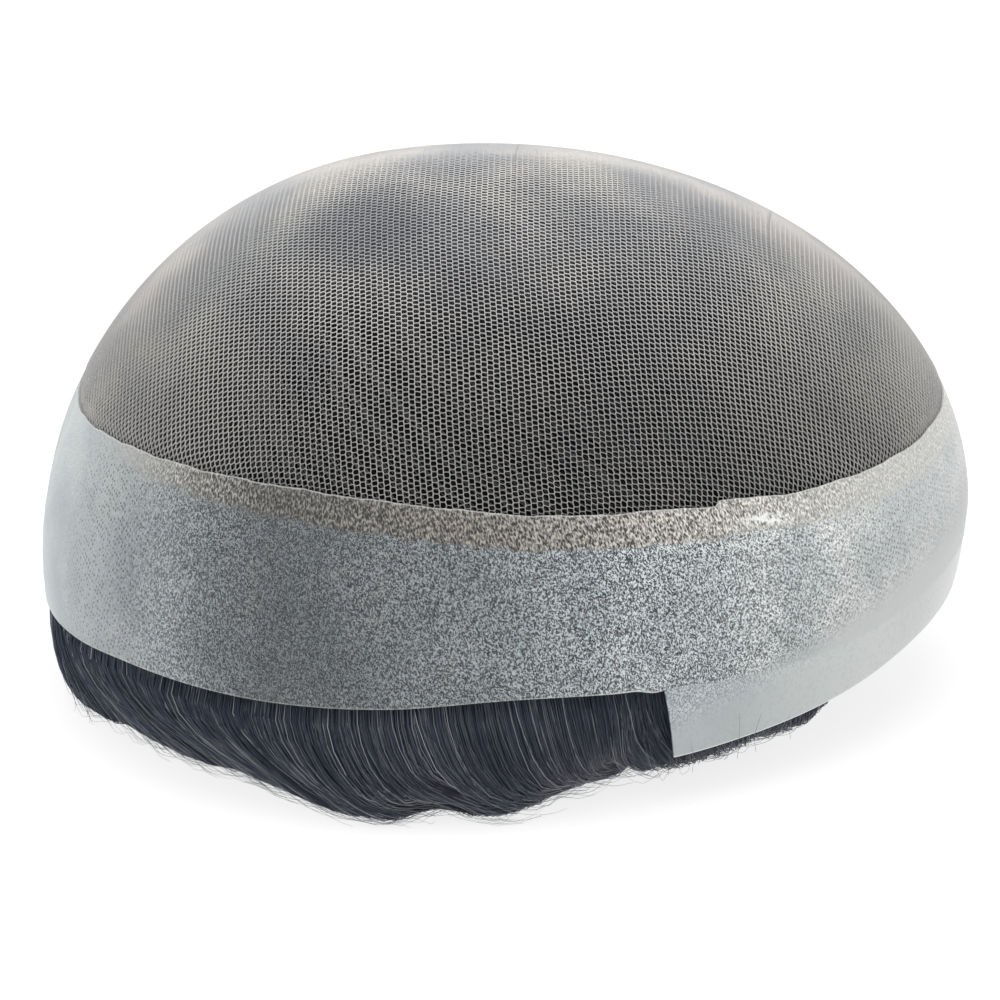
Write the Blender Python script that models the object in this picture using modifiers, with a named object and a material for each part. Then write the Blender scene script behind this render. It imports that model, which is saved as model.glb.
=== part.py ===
"""Toupee hairpiece, turned inside out so that its scalp side faces outwards.

A net crown is lapped under a wide skin band that runs all round it. A plain skin
strip hangs below the band across the front. The hair is knotted to the far side
of the base, so it lines the dome and comes out below the band, where it curls in
and carries the piece. Units are metres, +Z is up and the front faces -Y.
"""

import math

import bmesh
import bpy
from mathutils import Vector

# Dome of the base: an egg in plan, measured from the crown's centre
FRONT_REACH = 0.0939
BACK_REACH = 0.0722
HALF_WIDTH = 0.0714
CROWN_RISE = 0.0701
CROWN_LEAN = math.radians(6.9)
CROWN_CURVE = 1.95
CENTRE_HEIGHT = 0.027

# Walls and the gap that pieces keep
LACE_WALL = 0.001
SKIN_WALL = 0.001
PIECE_GAP = 0.00035

# Edges of the base, as heights above the surface that it stands on
BAND_TOP_HEIGHT = 0.0565
BAND_FOOT_HEIGHT = 0.0235
STRIP_DROP = 0.0125
STRIP_HALF_SPAN = 71.5
STRIP_END_SLANT = 2.0
LACE_LAP = 0.006
STRIP_LAP = 0.005
LACE_DIVE = 0.005

# Hair
CROWN_HAIR_DEPTH = 0.007
RIM_HAIR_DEPTH = 0.0095
RIM_TUCK = 0.038
RIM_BULGE = 0.0022
RIM_ROOT_RISE = 0.008
RIM_LOCKS = 16
CROWN_LOCKS = 12
LOCK_RELIEF = 0.0018
LOCK_LIFT = 0.0035
PARTING_WIDTH = 1.6
PARTING_REACH = 0.45
LOCK_SWEEP = 12.0
CROWN_SWIRL = 70.0
STRIP_BLEND = 5.0

# Number of steps round the piece and down each wall
LACE_SIDES = 64
LACE_ROWS = 9
DIVE_ROWS = 2
LAP_ROWS = 1
BAND_SIDES = 96
BAND_ROWS = 5
STRIP_SIDES = 44
STRIP_ROWS = 3
STEPS_PER_RIM_LOCK = 9
STEPS_PER_CROWN_LOCK = 5
CROWN_HAIR_ROWS = 9

# Angles in degrees that the shaping functions work with
NORMAL_STEP = 0.5
LENGTH_STEP = 1.0
WIDEST_FROM = 60
WIDEST_TO = 120
LOWEST_POLAR = 150
SHARP_EDGE = 50
HALVINGS = 40

# Height of the band's top edge, round from the front: degrees, share of BAND_TOP_HEIGHT
BAND_TOP_EDGE = (
    (0, 0.965),
    (16, 0.950),
    (33, 0.926),
    (50, 0.922),
    (64, 0.943),
    (80, 0.957),
    (100, 1.002),
    (120, 1.024),
    (150, 1.014),
    (180, 0.982),
)

# Height of the band's lower edge, round from the front: degrees, share of BAND_FOOT_HEIGHT
BAND_FOOT_EDGE = (
    (0, 1.24),
    (16, 1.22),
    (30, 1.14),
    (45, 1.02),
    (60, 0.97),
    (75, 1.01),
    (90, 1.04),
    (105, 0.98),
    (120, 0.96),
    (145, 0.97),
    (160, 0.91),
    (180, 0.85),
)

# How far the strip hangs below the band, round from the front: degrees, share of STRIP_DROP
STRIP_FOOT_EDGE = (
    (0, 0.69),
    (16, 0.69),
    (30, 0.75),
    (45, 0.86),
    (60, 0.98),
    (75, 1.16),
)

# How far the rim hair is tucked in, round from the front: degrees, share of RIM_TUCK
TUCK_EDGE = (
    (0, 0.76),
    (25, 0.62),
    (50, 0.36),
    (66, 0.30),
    (80, 0.04),
    (95, -0.05),
    (110, -0.03),
    (130, 0.11),
    (152, 0.05),
    (180, -0.09),
)

# Section of the rim hair: its roots, the outside, the sole and back up the inside.
# Its columns are the place, the height as a share of the band's foot or the rise as
# a share of RIM_ROOT_RISE, and shares of tuck, depth, bulge, lock relief and sweep.
RIM_PROFILE = (
    ("root outside", None, 1.00, 0.00, 0.00, 0.0, 0.0, 0.00),
    ("edge outside", None, 0.05, 0.00, 0.00, 0.0, 0.0, 0.05),
    ("bulge", 0.82, None, 0.04, 0.00, 1.0, 0.4, 0.15),
    ("belly", 0.52, None, 0.40, 0.00, 1.0, 0.8, 0.35),
    ("turn", 0.25, None, 0.80, 0.03, 0.6, 1.0, 0.60),
    ("heel", 0.08, None, 0.95, 0.10, 0.2, 0.9, 0.80),
    ("sole outside", 0.00, None, 1.00, 0.24, 0.0, 0.5, 0.90),
    ("sole inside", 0.00, None, 1.04, 0.80, 0.0, 0.3, 1.00),
    ("tip", 0.12, None, 1.06, 1.20, 0.0, 0.3, 1.00),
    ("hollow", 0.40, None, 0.80, 1.15, 0.0, -0.4, 0.70),
    ("inside", 0.85, None, 0.20, 1.05, 0.0, -0.3, 0.30),
    ("root inside", None, 1.00, 0.00, 1.00, 0.0, 0.0, 0.00),
)

MATERIALS = {
    # name: colour, roughness
    "lace_net": ((0.46, 0.45, 0.43), 0.7),
    "skin_film": ((0.55, 0.60, 0.62), 0.35),
    "clear_skin": ((0.62, 0.67, 0.67), 0.3),
    "dark_hair": ((0.012, 0.013, 0.018), 0.4),
}


def clear_scene():
    for obj in list(bpy.data.objects):
        bpy.data.objects.remove(obj)


def material(name):
    made = bpy.data.materials.new(name)
    made.use_nodes = True
    colour, roughness = MATERIALS[name]
    shader = made.node_tree.nodes["Principled BSDF"]
    shader.inputs["Base Color"].default_value = (*colour, 1.0)
    shader.inputs["Roughness"].default_value = roughness
    shader.inputs["Metallic"].default_value = 0.0
    return made


def from_front(angle):
    """Degrees from the front, the same on both sides."""
    return abs((angle + 180.0) % 360.0 - 180.0)


def eased(share):
    """0 to 1 with a soft start and end."""
    share = min(1.0, max(0.0, share))
    return share * share * (3 - 2 * share)


def slope(table, index):
    """Slope of a table at one of its rows: level at both ends."""
    if index in (0, len(table) - 1):
        return 0.0
    (low, before), (high, after) = table[index - 1], table[index + 1]
    return (after - before) / (high - low)


def from_edge_table(table, angle):
    """Value of a table at an angle, on a smooth curve through its rows."""
    angle = from_front(angle)
    for index, ((low, before), (high, after)) in enumerate(zip(table, table[1:])):
        if angle <= high:
            width = high - low
            share = (angle - low) / width
            climb = eased(share)
            leaving = slope(table, index) * width * share * (1 - share) ** 2
            arriving = slope(table, index + 1) * width * share**2 * (share - 1)
            return before + (after - before) * climb + leaving + arriving
    return table[-1][1]


def signed_power(value, power):
    return math.copysign(abs(value) ** power, value)


def leaning_point(angle, polar):
    """Point of the dome before it is set down: angle from the front, polar from the crown's pole."""
    turn = math.radians(angle)
    reach = (FRONT_REACH + BACK_REACH) / 2 + (FRONT_REACH - BACK_REACH) / 2 * math.cos(turn)
    out = signed_power(math.sin(polar), 2 / CROWN_CURVE)
    rise = CROWN_RISE * signed_power(math.cos(polar), 2 / CROWN_CURVE)
    forward = reach * out * math.cos(turn)
    across = HALF_WIDTH * out * math.sin(turn)
    back_and_up = math.cos(CROWN_LEAN), math.sin(CROWN_LEAN)
    return Vector(
        (
            across,
            -(forward * back_and_up[0] - rise * back_and_up[1]),
            forward * back_and_up[1] + rise * back_and_up[0] + CENTRE_HEIGHT,
        )
    )


def centring_shift():
    """How far back or forward the dome moves so that the origin is the middle of its length."""
    reach = []
    for angle in (0, 180):
        polars = range(WIDEST_FROM, WIDEST_TO + 1)
        side = [leaning_point(angle, math.radians(polar)).y for polar in polars]
        reach.append(min(side) if angle == 0 else max(side))
    return Vector((0, -sum(reach) / 2, 0))


SHIFT = centring_shift()


def dome_point(angle, polar):
    return leaning_point(angle, polar) + SHIFT


def dome_normal(angle, polar):
    """Outward normal of the dome."""
    step = math.radians(NORMAL_STEP)
    polar = max(polar, step)
    round_it = dome_point(angle + NORMAL_STEP, polar) - dome_point(angle - NORMAL_STEP, polar)
    down_it = dome_point(angle, polar + step) - dome_point(angle, polar - step)
    return down_it.cross(round_it).normalized()


def inside_dome(angle, polar, inset, level=False):
    """Point this far inside the dome, along its normal or level with its surface."""
    inwards = dome_normal(angle, polar)
    if level:
        inwards.z = 0
    return dome_point(angle, polar) - inwards.normalized() * inset


def polar_at(angle, height):
    """Polar angle at which the dome has this height above the floor."""
    low, high = 0.0, math.radians(LOWEST_POLAR)
    for _ in range(HALVINGS):
        middle = (low + high) / 2
        if dome_point(angle, middle).z > height:
            low = middle
        else:
            high = middle
    return (low + high) / 2


def lower_by(angle, polar, length):
    """Polar angle this far down the dome's surface."""
    step = math.radians(LENGTH_STEP)
    per_step = (dome_point(angle, polar + step) - dome_point(angle, polar)).length
    return polar + step * length / per_step


def band_top(angle):
    return polar_at(angle, BAND_TOP_HEIGHT * from_edge_table(BAND_TOP_EDGE, angle))


def band_foot_height(angle):
    return BAND_FOOT_HEIGHT * from_edge_table(BAND_FOOT_EDGE, angle)


def band_foot(angle):
    return polar_at(angle, band_foot_height(angle))


def strip_foot(angle):
    drop = STRIP_DROP * from_edge_table(STRIP_FOOT_EDGE, angle)
    return polar_at(angle, band_foot_height(angle) - drop)


def under_strip(angle):
    """1 where the front strip lies over the hair, 0 clear of it, eased past its ends."""
    return eased((STRIP_HALF_SPAN + 1 + STRIP_BLEND - from_front(angle)) / STRIP_BLEND)


# The three layers of the base: the band outside, then what is lapped under it, then hair
LAPPED_INSET = SKIN_WALL + PIECE_GAP
UNDER_LACE_INSET = LAPPED_INSET + LACE_WALL + PIECE_GAP
UNDER_STRIP_INSET = LAPPED_INSET + SKIN_WALL + PIECE_GAP
UNDER_BAND_INSET = SKIN_WALL + PIECE_GAP


def mesh_object(name, mesh_maker, material_name, collection):
    mesh = bpy.data.meshes.new(name)
    maker = bmesh.new()
    mesh_maker(maker)
    bmesh.ops.recalc_face_normals(maker, faces=maker.faces)
    maker.to_mesh(mesh)
    maker.free()
    mesh.shade_smooth()
    mesh.set_sharp_from_angle(angle=math.radians(SHARP_EDGE))
    obj = bpy.data.objects.new(name, mesh)
    obj.data.materials.append(material(material_name))
    collection.objects.link(obj)
    return obj


def join_rings(maker, upper, lower, closed):
    """Faces between two rows of vertices."""
    count = len(upper)
    for index in range(count if closed else count - 1):
        after = (index + 1) % count
        maker.faces.new((upper[index], lower[index], lower[after], upper[after]))


def fan_to_pole(maker, pole, ring):
    """Faces from a ring to one point."""
    for index, vertex in enumerate(ring):
        maker.faces.new((pole, vertex, ring[(index + 1) % len(ring)]))


def rows_of_vertices(maker, rows):
    return [[maker.verts.new(point) for point in row] for row in rows]


def open_sheet(rows, closed, pole=None):
    """Maker of a one-sided sheet through rows of points, with a pole above the first if one is given."""

    def make(maker):
        rings = rows_of_vertices(maker, rows)
        for upper, lower in zip(rings, rings[1:]):
            join_rings(maker, upper, lower, closed)
        if pole is not None:
            fan_to_pole(maker, maker.verts.new(pole), rings[0])

    return make


def with_wall(obj, wall):
    """Gives a sheet its wall, inwards from its outer face."""
    solid = obj.modifiers.new("wall", "SOLIDIFY")
    solid.thickness = wall
    solid.offset = -1.0
    solid.use_even_offset = True
    return obj


def sides(count):
    return [360.0 * index / count for index in range(count)]


def lace_crown(collection):
    """The net dome. Its margin dives under the band and is lapped there."""
    angles = sides(LACE_SIDES)
    rows = []
    for row in range(1, LACE_ROWS + 1):
        share = row / LACE_ROWS
        ring = []
        for angle in angles:
            edge = lower_by(angle, band_top(angle), -LACE_DIVE)
            ring.append(dome_point(angle, edge * share))
        rows.append(ring)
    for row in range(1, DIVE_ROWS + 1):
        share = row / DIVE_ROWS
        ring = []
        for angle in angles:
            polar = lower_by(angle, band_top(angle), -LACE_DIVE * (1 - share))
            ring.append(inside_dome(angle, polar, LAPPED_INSET * eased(share)))
        rows.append(ring)
    for row in range(1, LAP_ROWS + 1):
        ring = []
        for angle in angles:
            polar = lower_by(angle, band_top(angle), LACE_LAP * row / LAP_ROWS)
            ring.append(inside_dome(angle, polar, LAPPED_INSET))
        rows.append(ring)
    maker = open_sheet(rows, closed=True, pole=dome_point(0, 0))
    return with_wall(mesh_object("lace_crown", maker, "lace_net", collection), LACE_WALL)


def skin_band(collection):
    """The skin band that runs all round, its scalp face outwards."""
    angles = sides(BAND_SIDES)
    rows = []
    for row in range(BAND_ROWS + 1):
        share = row / BAND_ROWS
        rows.append(
            [
                dome_point(angle, band_top(angle) * (1 - share) + band_foot(angle) * share)
                for angle in angles
            ]
        )
    maker = open_sheet(rows, closed=True)
    return with_wall(mesh_object("skin_band", maker, "skin_film", collection), SKIN_WALL)


def front_strip(collection):
    """The plain strip across the front, lapped under the band's lower edge."""
    rows = []
    for row in range(STRIP_ROWS + 1):
        share = row / STRIP_ROWS
        half_span = STRIP_HALF_SPAN - STRIP_END_SLANT * share
        ring = []
        for index in range(STRIP_SIDES + 1):
            angle = half_span * (2 * index / STRIP_SIDES - 1)
            top = lower_by(angle, band_foot(angle), -STRIP_LAP)
            polar = top * (1 - share) + strip_foot(angle) * share
            ring.append(inside_dome(angle, polar, LAPPED_INSET))
        rows.append(ring)
    maker = open_sheet(rows, closed=False)
    return with_wall(mesh_object("front_strip", maker, "clear_skin", collection), SKIN_WALL)


def lock_wave(turns):
    """Rounded lock section: 1 on a lock's crest and 0 in the parting between two."""
    return math.sqrt(abs(math.cos(math.pi * turns)))


def swept_angle(root, share):
    """Where a hair rooted at this angle passes: swept forward on both sides, straight at the ends."""
    turn = math.radians(root)
    return root - LOCK_SWEEP * share * math.sin(turn) * (1 - math.cos(turn))


def crown_hair(collection):
    """Hair that lines the dome, in locks that run from the crown's whorl to the rim."""
    roots = sides(CROWN_LOCKS * STEPS_PER_CROWN_LOCK)

    def lower_edge(angle):
        return polar_at(angle, band_foot_height(angle) + RIM_ROOT_RISE + PIECE_GAP)

    def point(root, share, depth):
        angle = root - CROWN_SWIRL * (1 - share)
        valley = LOCK_RELIEF * share * (1 - lock_wave(root / 360.0 * CROWN_LOCKS))
        inset = UNDER_LACE_INSET + depth * (CROWN_HAIR_DEPTH - valley)
        return inside_dome(angle, lower_edge(angle) * share, inset, level=share == 1)

    shares = [row / CROWN_HAIR_ROWS for row in range(1, CROWN_HAIR_ROWS + 1)]
    rows = [[point(root, share, 0) for root in roots] for share in shares]
    rows += [[point(root, share, 1) for root in roots] for share in reversed(shares)]

    def make(maker):
        rings = rows_of_vertices(maker, rows)
        for upper, lower in zip(rings, rings[1:]):
            join_rings(maker, upper, lower, closed=True)
        for ring, inset in (
            (rings[0], UNDER_LACE_INSET),
            (rings[-1], UNDER_LACE_INSET + CROWN_HAIR_DEPTH),
        ):
            fan_to_pole(maker, maker.verts.new(inside_dome(0, 0, inset)), ring)

    return mesh_object("crown_hair", make, "dark_hair", collection)


def rim_point(root, row):
    """A point of the rim hair, with its lock's sweep, relief and parting."""
    _, height, rise, tuck, depth, bulge, relief, sweep = row
    angle = swept_angle(root, sweep)
    foot = band_foot_height(angle)
    wave = lock_wave(root / 360.0 * RIM_LOCKS)
    if rise is None:
        parting = LOCK_LIFT * max(0.0, 1 - PARTING_WIDTH * wave)
        level = height * foot + parting * max(0.0, 1 - height / PARTING_REACH)
    else:
        level = foot + rise * RIM_ROOT_RISE
    free_inset = UNDER_BAND_INSET - bulge * RIM_BULGE
    backing = free_inset + (UNDER_STRIP_INSET - free_inset) * under_strip(angle)
    tucked = tuck * RIM_TUCK * from_edge_table(TUCK_EDGE, angle)
    inset = backing + tucked + depth * RIM_HAIR_DEPTH + relief * LOCK_RELIEF * (1 - wave)
    return inside_dome(angle, polar_at(angle, level), inset, level=True)


def rim_hair(collection):
    """Hair that comes out below the band, in fused locks that curl in under it."""
    roots = sides(RIM_LOCKS * STEPS_PER_RIM_LOCK)
    rows = [[rim_point(root, row) for root in roots] for row in RIM_PROFILE]

    def make(maker):
        rings = rows_of_vertices(maker, rows)
        for upper, lower in zip(rings, rings[1:] + rings[:1]):
            join_rings(maker, upper, lower, closed=True)

    return mesh_object("rim_hair", make, "dark_hair", collection)


def main():
    clear_scene()
    collection = bpy.data.collections.new("toupee")
    bpy.context.scene.collection.children.link(collection)
    lace_crown(collection)
    skin_band(collection)
    front_strip(collection)
    crown_hair(collection)
    rim_hair(collection)


main()
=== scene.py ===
"""Toupee turned scalp side out: net crown, skin band and front strip over dark hair."""

import math

import bmesh
import bpy
import numpy as np
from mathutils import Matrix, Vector


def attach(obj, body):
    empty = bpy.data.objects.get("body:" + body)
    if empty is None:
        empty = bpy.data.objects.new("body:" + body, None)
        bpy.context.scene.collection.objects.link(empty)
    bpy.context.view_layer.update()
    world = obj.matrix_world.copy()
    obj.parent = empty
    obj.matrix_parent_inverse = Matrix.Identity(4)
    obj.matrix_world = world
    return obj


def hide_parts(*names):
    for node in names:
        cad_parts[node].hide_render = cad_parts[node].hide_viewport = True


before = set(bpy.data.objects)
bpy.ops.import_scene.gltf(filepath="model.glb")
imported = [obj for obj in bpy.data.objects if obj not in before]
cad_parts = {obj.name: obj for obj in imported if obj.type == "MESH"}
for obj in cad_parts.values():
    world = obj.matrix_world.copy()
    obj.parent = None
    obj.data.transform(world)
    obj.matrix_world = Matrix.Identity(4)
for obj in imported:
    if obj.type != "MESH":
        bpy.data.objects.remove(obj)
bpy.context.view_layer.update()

# Dome of the base, as in the solids: metres and degrees
FRONT_REACH = 0.0939
BACK_REACH = 0.0722
HALF_WIDTH = 0.0714
CROWN_RISE = 0.0701
CROWN_LEAN = math.radians(6.9)
CROWN_CURVE = 1.95
CENTRE_HEIGHT = 0.027
SHIFT_BACK = 0.010720212
EGG = (FRONT_REACH - BACK_REACH) / (FRONT_REACH + BACK_REACH)
MEAN_REACH = (FRONT_REACH + BACK_REACH) / 2

# Edges of the base and the forms of the hair, as in the solids
BAND_TOP_HEIGHT = 0.0565
BAND_FOOT_HEIGHT = 0.0235
STRIP_DROP = 0.0125
STRIP_HALF_SPAN = 72.6
STRIP_END_SLANT = 2.0
STRIP_LAP = 0.005
CROWN_HAIR_DEPTH = 0.007
RIM_HAIR_DEPTH = 0.0095
RIM_TUCK = 0.038
RIM_BULGE = 0.0022
RIM_ROOT_RISE = 0.008
RIM_LOCKS = 16
CROWN_LOCKS = 12
LOCK_RELIEF = 0.0018
LOCK_LIFT = 0.0035
PARTING_WIDTH = 1.6
PARTING_REACH = 0.45
LOCK_SWEEP = 14.0
CROWN_SWIRL = 70.0
STRIP_BLEND = 5.0
UNDER_BAND_INSET = 0.00135
UNDER_LACE_INSET = 0.0027
UNDER_STRIP_INSET = 0.0027
PIECE_GAP = 0.00035

# Films and net
FILM_WALL = 0.00035
STRIP_INSET = 0.00045
# Heights at which the lengths round band and strip are measured
BAND_MIDDLE = 0.042
STRIP_MIDDLE = 0.022
FRAY_ANGLE = -62.0
FRAY_STEP = 0.0004
NOTCH_DIP = 0.0007
WELD_DIP = 0.00038
BACK_RIPPLE = 0.000175
NET_PITCH = 0.00099
NET_STEP = 0.000465
NET_TURN = math.radians(11)
NET_REACH = 1.1
NET_NUDGE = 0.0002
THREAD_WIDTH = 0.00020
BAR_WIDTH = 0.00016
THREAD_HEIGHT = 0.00030
NET_PARTS = 4

# Angles from the front and shares: heights of the edges and the tuck of the hair
BAND_TOP_EDGE = (
    (0, 0.965), (16, 0.950), (33, 0.926), (50, 0.922), (64, 0.943),
    (80, 0.957), (100, 1.002), (120, 1.024), (150, 1.014), (180, 0.982),
)
BAND_FOOT_EDGE = (
    (0, 1.24), (16, 1.22), (30, 1.14), (45, 1.02), (60, 0.97), (75, 1.01),
    (90, 1.04), (105, 0.98), (120, 0.96), (145, 0.97), (160, 0.91), (180, 0.85),
)
STRIP_FOOT_EDGE = ((0, 0.69), (16, 0.69), (30, 0.75), (45, 0.86), (60, 0.98), (75, 1.16))
TUCK_EDGE = (
    (0, 0.76), (25, 0.62), (50, 0.36), (66, 0.27), (80, 0.08),
    (95, -0.05), (110, -0.04), (130, 0.20), (152, 0.17), (161, 0.12), (170, 0.015), (180, -0.05),
)
# How far the hair's lower edge draws back between its big locks
RECESS_EDGE = (
    (0, 0.0), (60, 0.0), (68, 0.0), (73, 0.2), (79, 0.42), (84, 0.42), (88, 0.08), (91, 0.0),
    (95, 0.1), (98.5, 0.75), (101.5, 0.5), (106, 0.0), (120, 0.0), (140, 0.0), (180, 0.0),
)
RECESS_TUCK = 0.010
RECESS_LIFT = 0.002
RECESS_TOP = 0.4
# Degrees from the front where the hair begins and ends to show under the strip
SHOWN_FROM, SHOWN_SPAN = 28, 23
SHOWN_TO, SHOWN_FADE = 70, 8
SHOWN_LIFT = 0.0013
# The bulge flattens towards the back, and the partings are shallow in front
BACK_BULGE = 0.35
BACK_FROM, BACK_SPAN = 125, 30
FRONT_PARTING = 0.25
PARTING_FROM, PARTING_SPAN = 25, 25

# Section of the rim hair: height share or rise share, tuck, tuck below the strip's
# ends, depth, bulge, relief, sweep
RIM_PROFILE = (
    (None, 1.00, 0.00, 0.00, 0.00, 0.0, 0.0, 0.00),
    (None, 0.05, 0.00, 0.00, 0.00, 0.0, 0.0, 0.00),
    (0.82, None, 0.04, 0.00, 0.00, 1.0, 0.4, 0.00),
    (0.52, None, 0.40, 0.04, 0.00, 1.0, 0.8, 0.06),
    (0.25, None, 0.80, 0.20, 0.03, 0.6, 1.0, 0.22),
    (0.08, None, 0.95, 0.78, 0.10, 0.2, 0.9, 0.52),
    (0.00, None, 1.00, 1.05, 0.24, 0.0, 0.5, 0.85),
    (0.00, None, 1.04, 1.10, 0.80, 0.0, 0.3, 1.20),
    (0.12, None, 1.06, 1.10, 1.20, 0.0, 0.3, 1.30),
    (0.40, None, 0.80, 0.80, 1.15, 0.0, -0.4, 0.90),
    (0.85, None, 0.20, 0.20, 1.05, 0.0, -0.3, 0.30),
    (None, 1.00, 0.00, 0.00, 1.00, 0.0, 0.0, 0.00),
)

MM = 1000.0


# The dome


def eased(share):
    share = np.clip(share, 0.0, 1.0)
    return share * share * (3 - 2 * share)


def from_front(angle):
    return np.abs((np.asarray(angle, float) + 180.0) % 360.0 - 180.0)


def from_edge_table(table, angle):
    """Value of a table at angles from the front, on a smooth curve through its rows."""
    degrees, values = np.array(table, float).T
    slopes = np.zeros(len(degrees))
    slopes[1:-1] = (values[2:] - values[:-2]) / (degrees[2:] - degrees[:-2])
    turn = from_front(angle)
    row = np.clip(np.searchsorted(degrees, turn) - 1, 0, len(degrees) - 2)
    width = degrees[row + 1] - degrees[row]
    share = np.clip((turn - degrees[row]) / width, 0.0, 1.0)
    climb = (values[row + 1] - values[row]) * eased(share)
    leaving = slopes[row] * width * share * (1 - share) ** 2
    arriving = slopes[row + 1] * width * share**2 * (share - 1)
    return values[row] + climb + leaving + arriving


def signed_power(value, power):
    return np.copysign(np.abs(value) ** power, value)


def leaned(forward, across, rise):
    """Point in the model's frame from the dome's own forward, across and up."""
    back = -(forward * math.cos(CROWN_LEAN) - rise * math.sin(CROWN_LEAN)) + SHIFT_BACK
    up = forward * math.sin(CROWN_LEAN) + rise * math.cos(CROWN_LEAN) + CENTRE_HEIGHT
    return np.stack(np.broadcast_arrays(across, back, up), axis=-1)


def dome_point(angle, polar):
    turn = np.radians(angle)
    out = signed_power(np.sin(polar), 2 / CROWN_CURVE)
    rise = CROWN_RISE * signed_power(np.cos(polar), 2 / CROWN_CURVE)
    reach = MEAN_REACH * (1 + EGG * np.cos(turn))
    return leaned(reach * out * np.cos(turn), HALF_WIDTH * out * np.sin(turn), rise)


def unit(vectors):
    return vectors / np.maximum(np.linalg.norm(vectors, axis=-1, keepdims=True), 1e-12)


def dome_normal(angle, polar):
    step = math.radians(0.5)
    polar = np.maximum(polar, step)
    round_it = dome_point(angle + 0.5, polar) - dome_point(angle - 0.5, polar)
    down_it = dome_point(angle, polar + step) - dome_point(angle, polar - step)
    return unit(np.cross(down_it, round_it))


def inside_dome(angle, polar, inset, level=False):
    outwards = dome_normal(angle, polar)
    if level:
        outwards = unit(outwards * (1, 1, 0))
    return dome_point(angle, polar) - outwards * np.asarray(inset)[..., None]


def polar_at(angle, height):
    """Polar angle at which the dome has this height above the floor."""
    angle, height = np.broadcast_arrays(np.asarray(angle, float), height)
    low = np.zeros(angle.shape)
    high = np.full(angle.shape, math.radians(150))
    for _ in range(40):
        middle = (low + high) / 2
        above = dome_point(angle, middle)[..., 2] > height
        low = np.where(above, middle, low)
        high = np.where(above, high, middle)
    return (low + high) / 2


def lower_by(angle, polar, length):
    """Polar angle this far down the dome's surface."""
    step = math.radians(1.0)
    return polar + step * length / apart(angle, polar + step, polar)


def apart(angle, first, second):
    """Distance between two polar angles on the dome."""
    return np.linalg.norm(dome_point(angle, first) - dome_point(angle, second), axis=-1)


def band_top_height(angle):
    return BAND_TOP_HEIGHT * from_edge_table(BAND_TOP_EDGE, angle)


def band_foot_height(angle):
    return BAND_FOOT_HEIGHT * from_edge_table(BAND_FOOT_EDGE, angle)


def strip_foot_height(angle):
    return band_foot_height(angle) - STRIP_DROP * from_edge_table(STRIP_FOOT_EDGE, angle)


def over_strip(angle):
    """1 where the front strip lies, 0 clear of it."""
    return eased((STRIP_HALF_SPAN + 1 + STRIP_BLEND - from_front(angle)) / STRIP_BLEND)


def lock_wave(turns):
    return np.sqrt(np.abs(np.cos(np.pi * turns)))


def rim_section(root, row):
    """One line of the rim hair's section, at root angles."""
    height, rise, tuck, strip_tuck, depth, bulge, relief, sweep = row
    turn = np.radians(root)
    angle = root - LOCK_SWEEP * sweep * np.sin(turn) * (1 - np.cos(turn))
    foot = band_foot_height(angle)
    wave = lock_wave(root / 360.0 * RIM_LOCKS)
    if rise is None:
        parting = LOCK_LIFT * np.maximum(0.0, 1 - PARTING_WIDTH * wave)
        deepening = eased((from_front(root) - PARTING_FROM) / PARTING_SPAN)
        parting = parting * (FRONT_PARTING + (1 - FRONT_PARTING) * deepening)
        level = height * foot + parting * max(0.0, 1 - height / PARTING_REACH)
    else:
        level = foot + rise * RIM_ROOT_RISE
    low_down = 0 if height is None else 1 - eased(height / RECESS_TOP)
    recess = from_edge_table(RECESS_EDGE, angle) * low_down
    level = level + recess * RECESS_LIFT
    front = from_front(angle)
    flat_back = 1 - (1 - BACK_BULGE) * eased((front - BACK_FROM) / BACK_SPAN)
    free_inset = UNDER_BAND_INSET - bulge * RIM_BULGE * flat_back
    inset = free_inset + (UNDER_STRIP_INSET - free_inset) * over_strip(angle)
    shown = eased((front - SHOWN_FROM) / SHOWN_SPAN)
    shown = shown * (1 - eased((front - SHOWN_TO) / SHOWN_FADE))
    inset = inset - shown * min(1.0, max(0.0, 1 - depth)) * SHOWN_LIFT
    tuck = tuck + (strip_tuck - tuck) * shown
    inset = inset + tuck * RIM_TUCK * from_edge_table(TUCK_EDGE, angle) + recess * RECESS_TUCK
    inset = inset + depth * RIM_HAIR_DEPTH + relief * LOCK_RELIEF * (1 - wave)
    return inside_dome(angle, polar_at(angle, level), inset, level=True)


def smooth_rows(rows, per_row):
    """More rows on a smooth curve through a closed ring of rows."""
    made = []
    count = len(rows)
    for index in range(count):
        before, here, after, beyond = (rows[(index + step) % count] for step in (-1, 0, 1, 2))
        for share in np.arange(per_row) / per_row:
            made.append(
                here
                + 0.5 * share * (after - before)
                + share**2 * (before - 2.5 * here + 2 * after - 0.5 * beyond)
                + share**3 * (1.5 * (here - after) + 0.5 * (beyond - before))
            )
    return np.array(made)


# Meshes


def only(piece):
    """Leaves this one piece selected and active."""
    bpy.ops.object.select_all(action="DESELECT")
    piece.select_set(True)
    bpy.context.view_layer.objects.active = piece


def piece_from_arrays(name, points, *groups):
    mesh = bpy.data.meshes.new(name)
    corners = np.concatenate([group.ravel() for group in groups]).astype(np.int32)
    sizes = np.concatenate([np.full(len(group), group.shape[1]) for group in groups])
    mesh.vertices.add(len(points))
    mesh.vertices.foreach_set("co", points.astype(np.float32).ravel())
    mesh.loops.add(len(corners))
    mesh.loops.foreach_set("vertex_index", corners)
    mesh.polygons.add(len(sizes))
    mesh.polygons.foreach_set("loop_start", (np.cumsum(sizes) - sizes).astype(np.int32))
    mesh.update(calc_edges=True)
    mesh.validate()
    mesh.shade_smooth()
    piece = bpy.data.objects.new(name, mesh)
    bpy.context.scene.collection.objects.link(piece)
    return piece


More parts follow.
